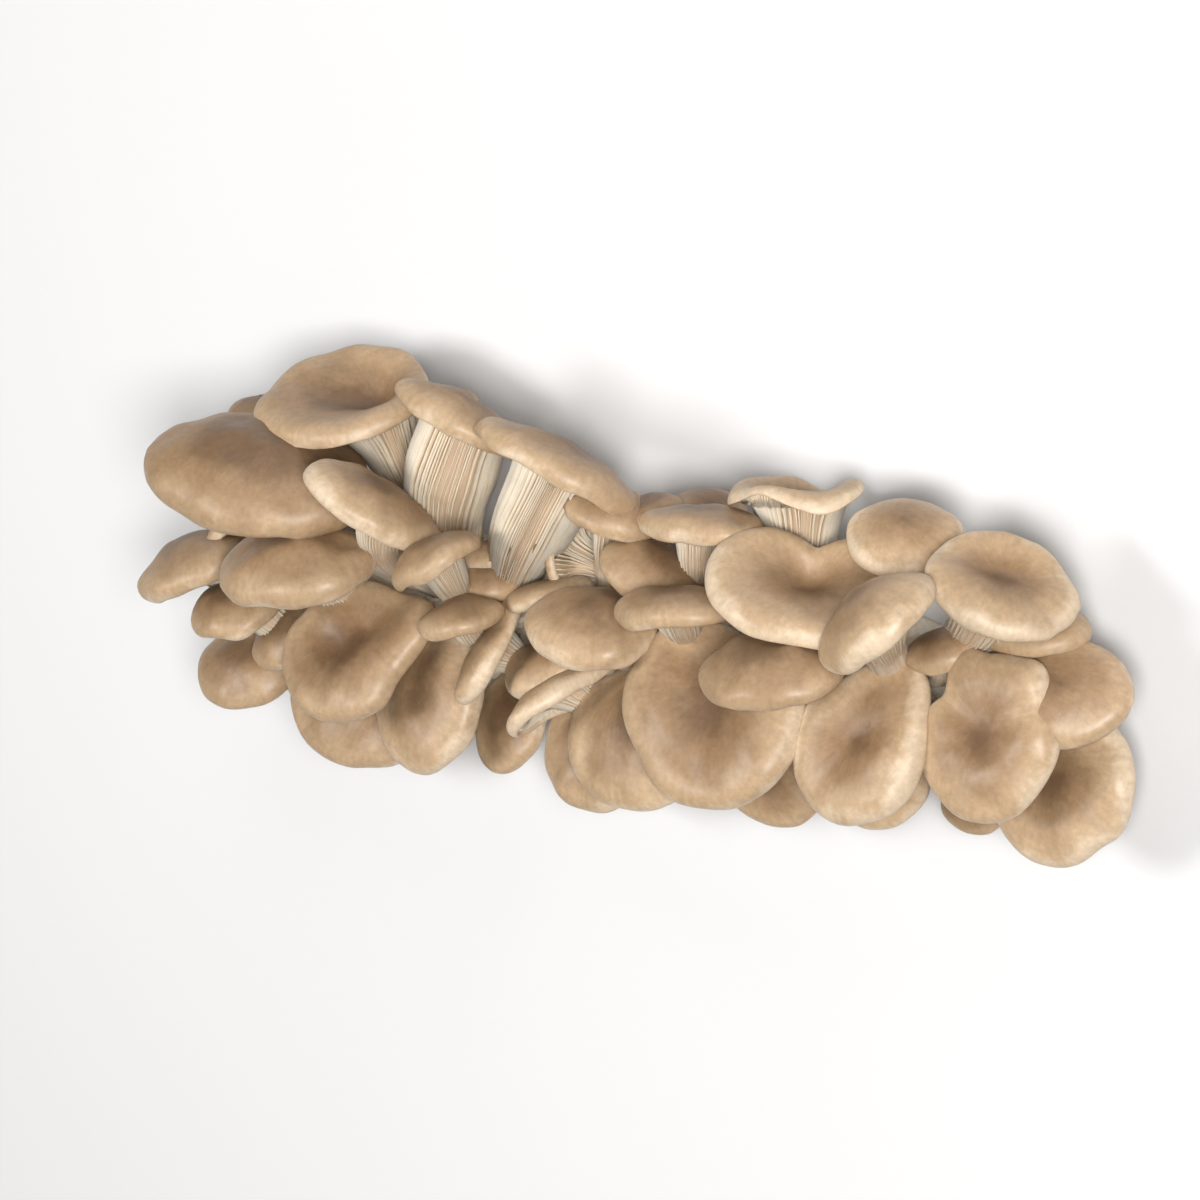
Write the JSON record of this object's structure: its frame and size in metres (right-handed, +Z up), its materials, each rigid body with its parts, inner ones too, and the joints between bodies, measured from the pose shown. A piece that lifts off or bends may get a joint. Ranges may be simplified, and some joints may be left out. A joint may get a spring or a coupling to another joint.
{
  "type": "oyster mushroom cluster",
  "caption": "Wide cluster of overlapping tan oyster mushrooms with pale gills and stems, fused on one stem base that is cut off flat and rests on the cut.",
  "frame": {"origin": "the middle of the stem base's flat cut face, on the surface that the cluster rests on", "axes": "+X along the row of mushrooms, +Y towards the back row, whose caps stand highest on the block, +Z up from the cut face, the way the caps grew out"},
  "size_m": [0.418, 0.1551, 0.1051],
  "materials": {
    "mushroom": "satin",
    "young_mushroom": "satin",
    "base_flesh": "matte"
  },
  "bodies": {
    "root": {"stem_base": "base_flesh", "back_01": "young_mushroom", "back_02": "mushroom", "back_03": "mushroom", "back_04": "young_mushroom", "back_05": "mushroom", "back_06": "young_mushroom", "back_07": "mushroom", "back_08": "young_mushroom", "back_09": "young_mushroom", "back_10": "mushroom", "back_11": "young_mushroom", "back_12": "mushroom", "back_13": "mushroom", "back_14": "mushroom", "back_15": "mushroom", "left_01": "mushroom", "left_02": "mushroom", "left_03": "mushroom", "left_04": "mushroom", "left_05": "young_mushroom", "left_06": "mushroom", "left_07": "mushroom", "left_08": "mushroom", "left_09": "young_mushroom", "left_10": "mushroom", "left_11": "mushroom", "left_12": "mushroom", "middle_01": "mushroom", "middle_02": "mushroom", "middle_03": "young_mushroom", "middle_04": "mushroom", "middle_05": "mushroom", "middle_06": "mushroom", "middle_07": "mushroom", "middle_08": "mushroom", "middle_09": "mushroom", "middle_10": "mushroom", "right_01": "mushroom", "right_02": "mushroom", "right_03": "mushroom", "right_04": "mushroom", "right_05": "mushroom", "right_06": "mushroom", "right_07": "mushroom", "right_08": "mushroom", "right_09": "mushroom", "right_10": "mushroom", "right_11": "young_mushroom", "right_12": "mushroom", "right_13": "mushroom", "right_14": "young_mushroom"}
  },
  "joints": []
}
